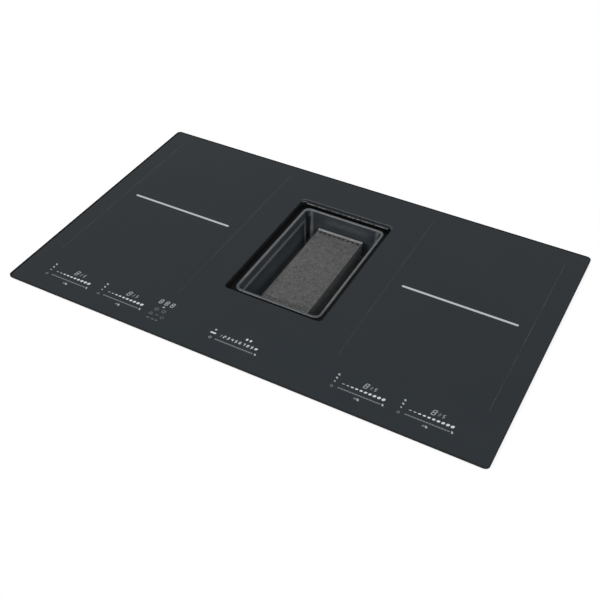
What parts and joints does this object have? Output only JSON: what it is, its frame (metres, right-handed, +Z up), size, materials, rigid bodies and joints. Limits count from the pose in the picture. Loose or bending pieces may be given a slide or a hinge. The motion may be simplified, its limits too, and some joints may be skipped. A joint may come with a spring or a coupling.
{
  "type": "downdraft induction cooktop",
  "caption": "Flush black glass induction cooktop with a central lift-out mesh filter tray, under-hob blower, drip tank and flat duct outlet.",
  "frame": {"origin": "centre of the worktop cut-out on the worktop's top face, where the foam seal rests", "axes": "+X to the user's right, +Y to the rear, +Z up out of the worktop"},
  "size_m": [0.83, 0.515, 0.21],
  "materials": {
    "black_glass": "gloss, fine ground edge",
    "foam": "closed-cell foam",
    "black_plastic": "satin moulded black",
    "tray_black": "gloss black",
    "filter_steel": "fine woven mesh",
    "bright_steel": "bright",
    "zinc_steel": "galvanised sheet",
    "mica": "mica sheet",
    "copper": "enamelled litz wire",
    "ferrite": "moulded, matt",
    "aluminium": "mill finish",
    "board_green": "solder mask",
    "grey_plastic": "moulded grey",
    "rubber": "matt"
  },
  "bodies": {
    "hob": {"bearing_lower": "bright_steel", "bearing_upper": "bright_steel", "cable_gland": "rubber", "casing_pan": "zinc_steel", "clamp_front_left": "zinc_steel", "clamp_front_right": "zinc_steel", "clamp_rear_left": "zinc_steel", "clamp_rear_right": "zinc_steel", "coil_carrier_front_left": "ferrite", "coil_carrier_front_right": "ferrite", "coil_carrier_rear_left": "ferrite", "coil_carrier_rear_right": "ferrite", "coil_front_left": "copper", "coil_front_right": "copper", "coil_rear_left": "copper", "coil_rear_right": "copper", "coil_sensor_front_left": "grey_plastic", "coil_sensor_front_right": "grey_plastic", "coil_sensor_rear_left": "grey_plastic", "coil_sensor_rear_right": "grey_plastic", "control_board": "board_green", "control_box": "black_plastic", "cooling_fan_frame_left": "black_plastic", "cooling_fan_frame_right": "black_plastic", "glass_seal": "foam", "glass_top": "black_glass", "heat_sink_left": "aluminium", "heat_sink_right": "aluminium", "inlet_hood": "black_plastic", "mica_left": "mica", "mica_right": "mica", "motor_stator": "zinc_steel", "outlet_diffuser": "black_plastic", "outlet_spigot": "black_plastic", "plenum_gasket": "rubber", "power_board_left": "board_green", "power_board_right": "board_green", "recess_frame": "black_plastic", "scroll_lower": "black_plastic", "scroll_upper": "black_plastic", "shield_left": "aluminium", "shield_right": "aluminium", "suction_plenum": "black_plastic", "terminal_block": "grey_plastic", "terminal_box": "black_plastic", "touch_board": "board_green", "touch_holder": "grey_plastic"},
    "tray": {"filter_tray": "tray_black"},
    "filter": {"filter_mesh": "filter_steel", "filter_rail_rear": "bright_steel", "filter_rail_front": "bright_steel", "filter_base_frame": "bright_steel"},
    "impeller_rotor": {"impeller": "grey_plastic", "impeller_shaft": "bright_steel"},
    "cooling_rotor_left": {"cooling_fan_rotor_left": "grey_plastic"},
    "cooling_rotor_right": {"cooling_fan_rotor_right": "grey_plastic"},
    "flap_upper": {"duct_flap_upper": "grey_plastic"},
    "flap_lower": {"duct_flap_lower": "grey_plastic"},
    "tank": {"drip_tank": "grey_plastic"}
  },
  "joints": [
    {"name": "tray_lift", "type": "slide", "parent": "hob", "child": "tray", "axis": [0, 0, 1], "range_m": [0, 0.12]},
    {"name": "filter_lift", "type": "slide", "parent": "tray", "child": "filter", "axis": [0, 0, 1], "range_m": [0, 0.09]},
    {"name": "impeller_spin", "type": "hinge", "parent": "hob", "child": "impeller_rotor", "pos_m": [0.23, -0.015, -0.16], "axis": [0, 0, 1], "continuous": true},
    {"name": "cooling_spin_left", "type": "hinge", "parent": "hob", "child": "cooling_rotor_left", "pos_m": [-0.24, 0.158, -0.04], "axis": [0, 0, 1], "continuous": true},
    {"name": "cooling_spin_right", "type": "hinge", "parent": "hob", "child": "cooling_rotor_right", "pos_m": [0.24, 0.158, -0.04], "axis": [0, 0, 1], "continuous": true},
    {"name": "flap_upper_swing", "type": "hinge", "parent": "hob", "child": "flap_upper", "pos_m": [0.271, 0.2181, -0.1191], "axis": [1, 0, 0], "range_deg": [0, 75]},
    {"name": "flap_lower_swing", "type": "hinge", "parent": "hob", "child": "flap_lower", "pos_m": [0.271, 0.2181, -0.1636], "axis": [1, 0, 0], "range_deg": [0, 75]},
    {"name": "tank_pull", "type": "slide", "parent": "hob", "child": "tank", "axis": [0, -1, 0], "range_m": [0, 0.28]}
  ]
}
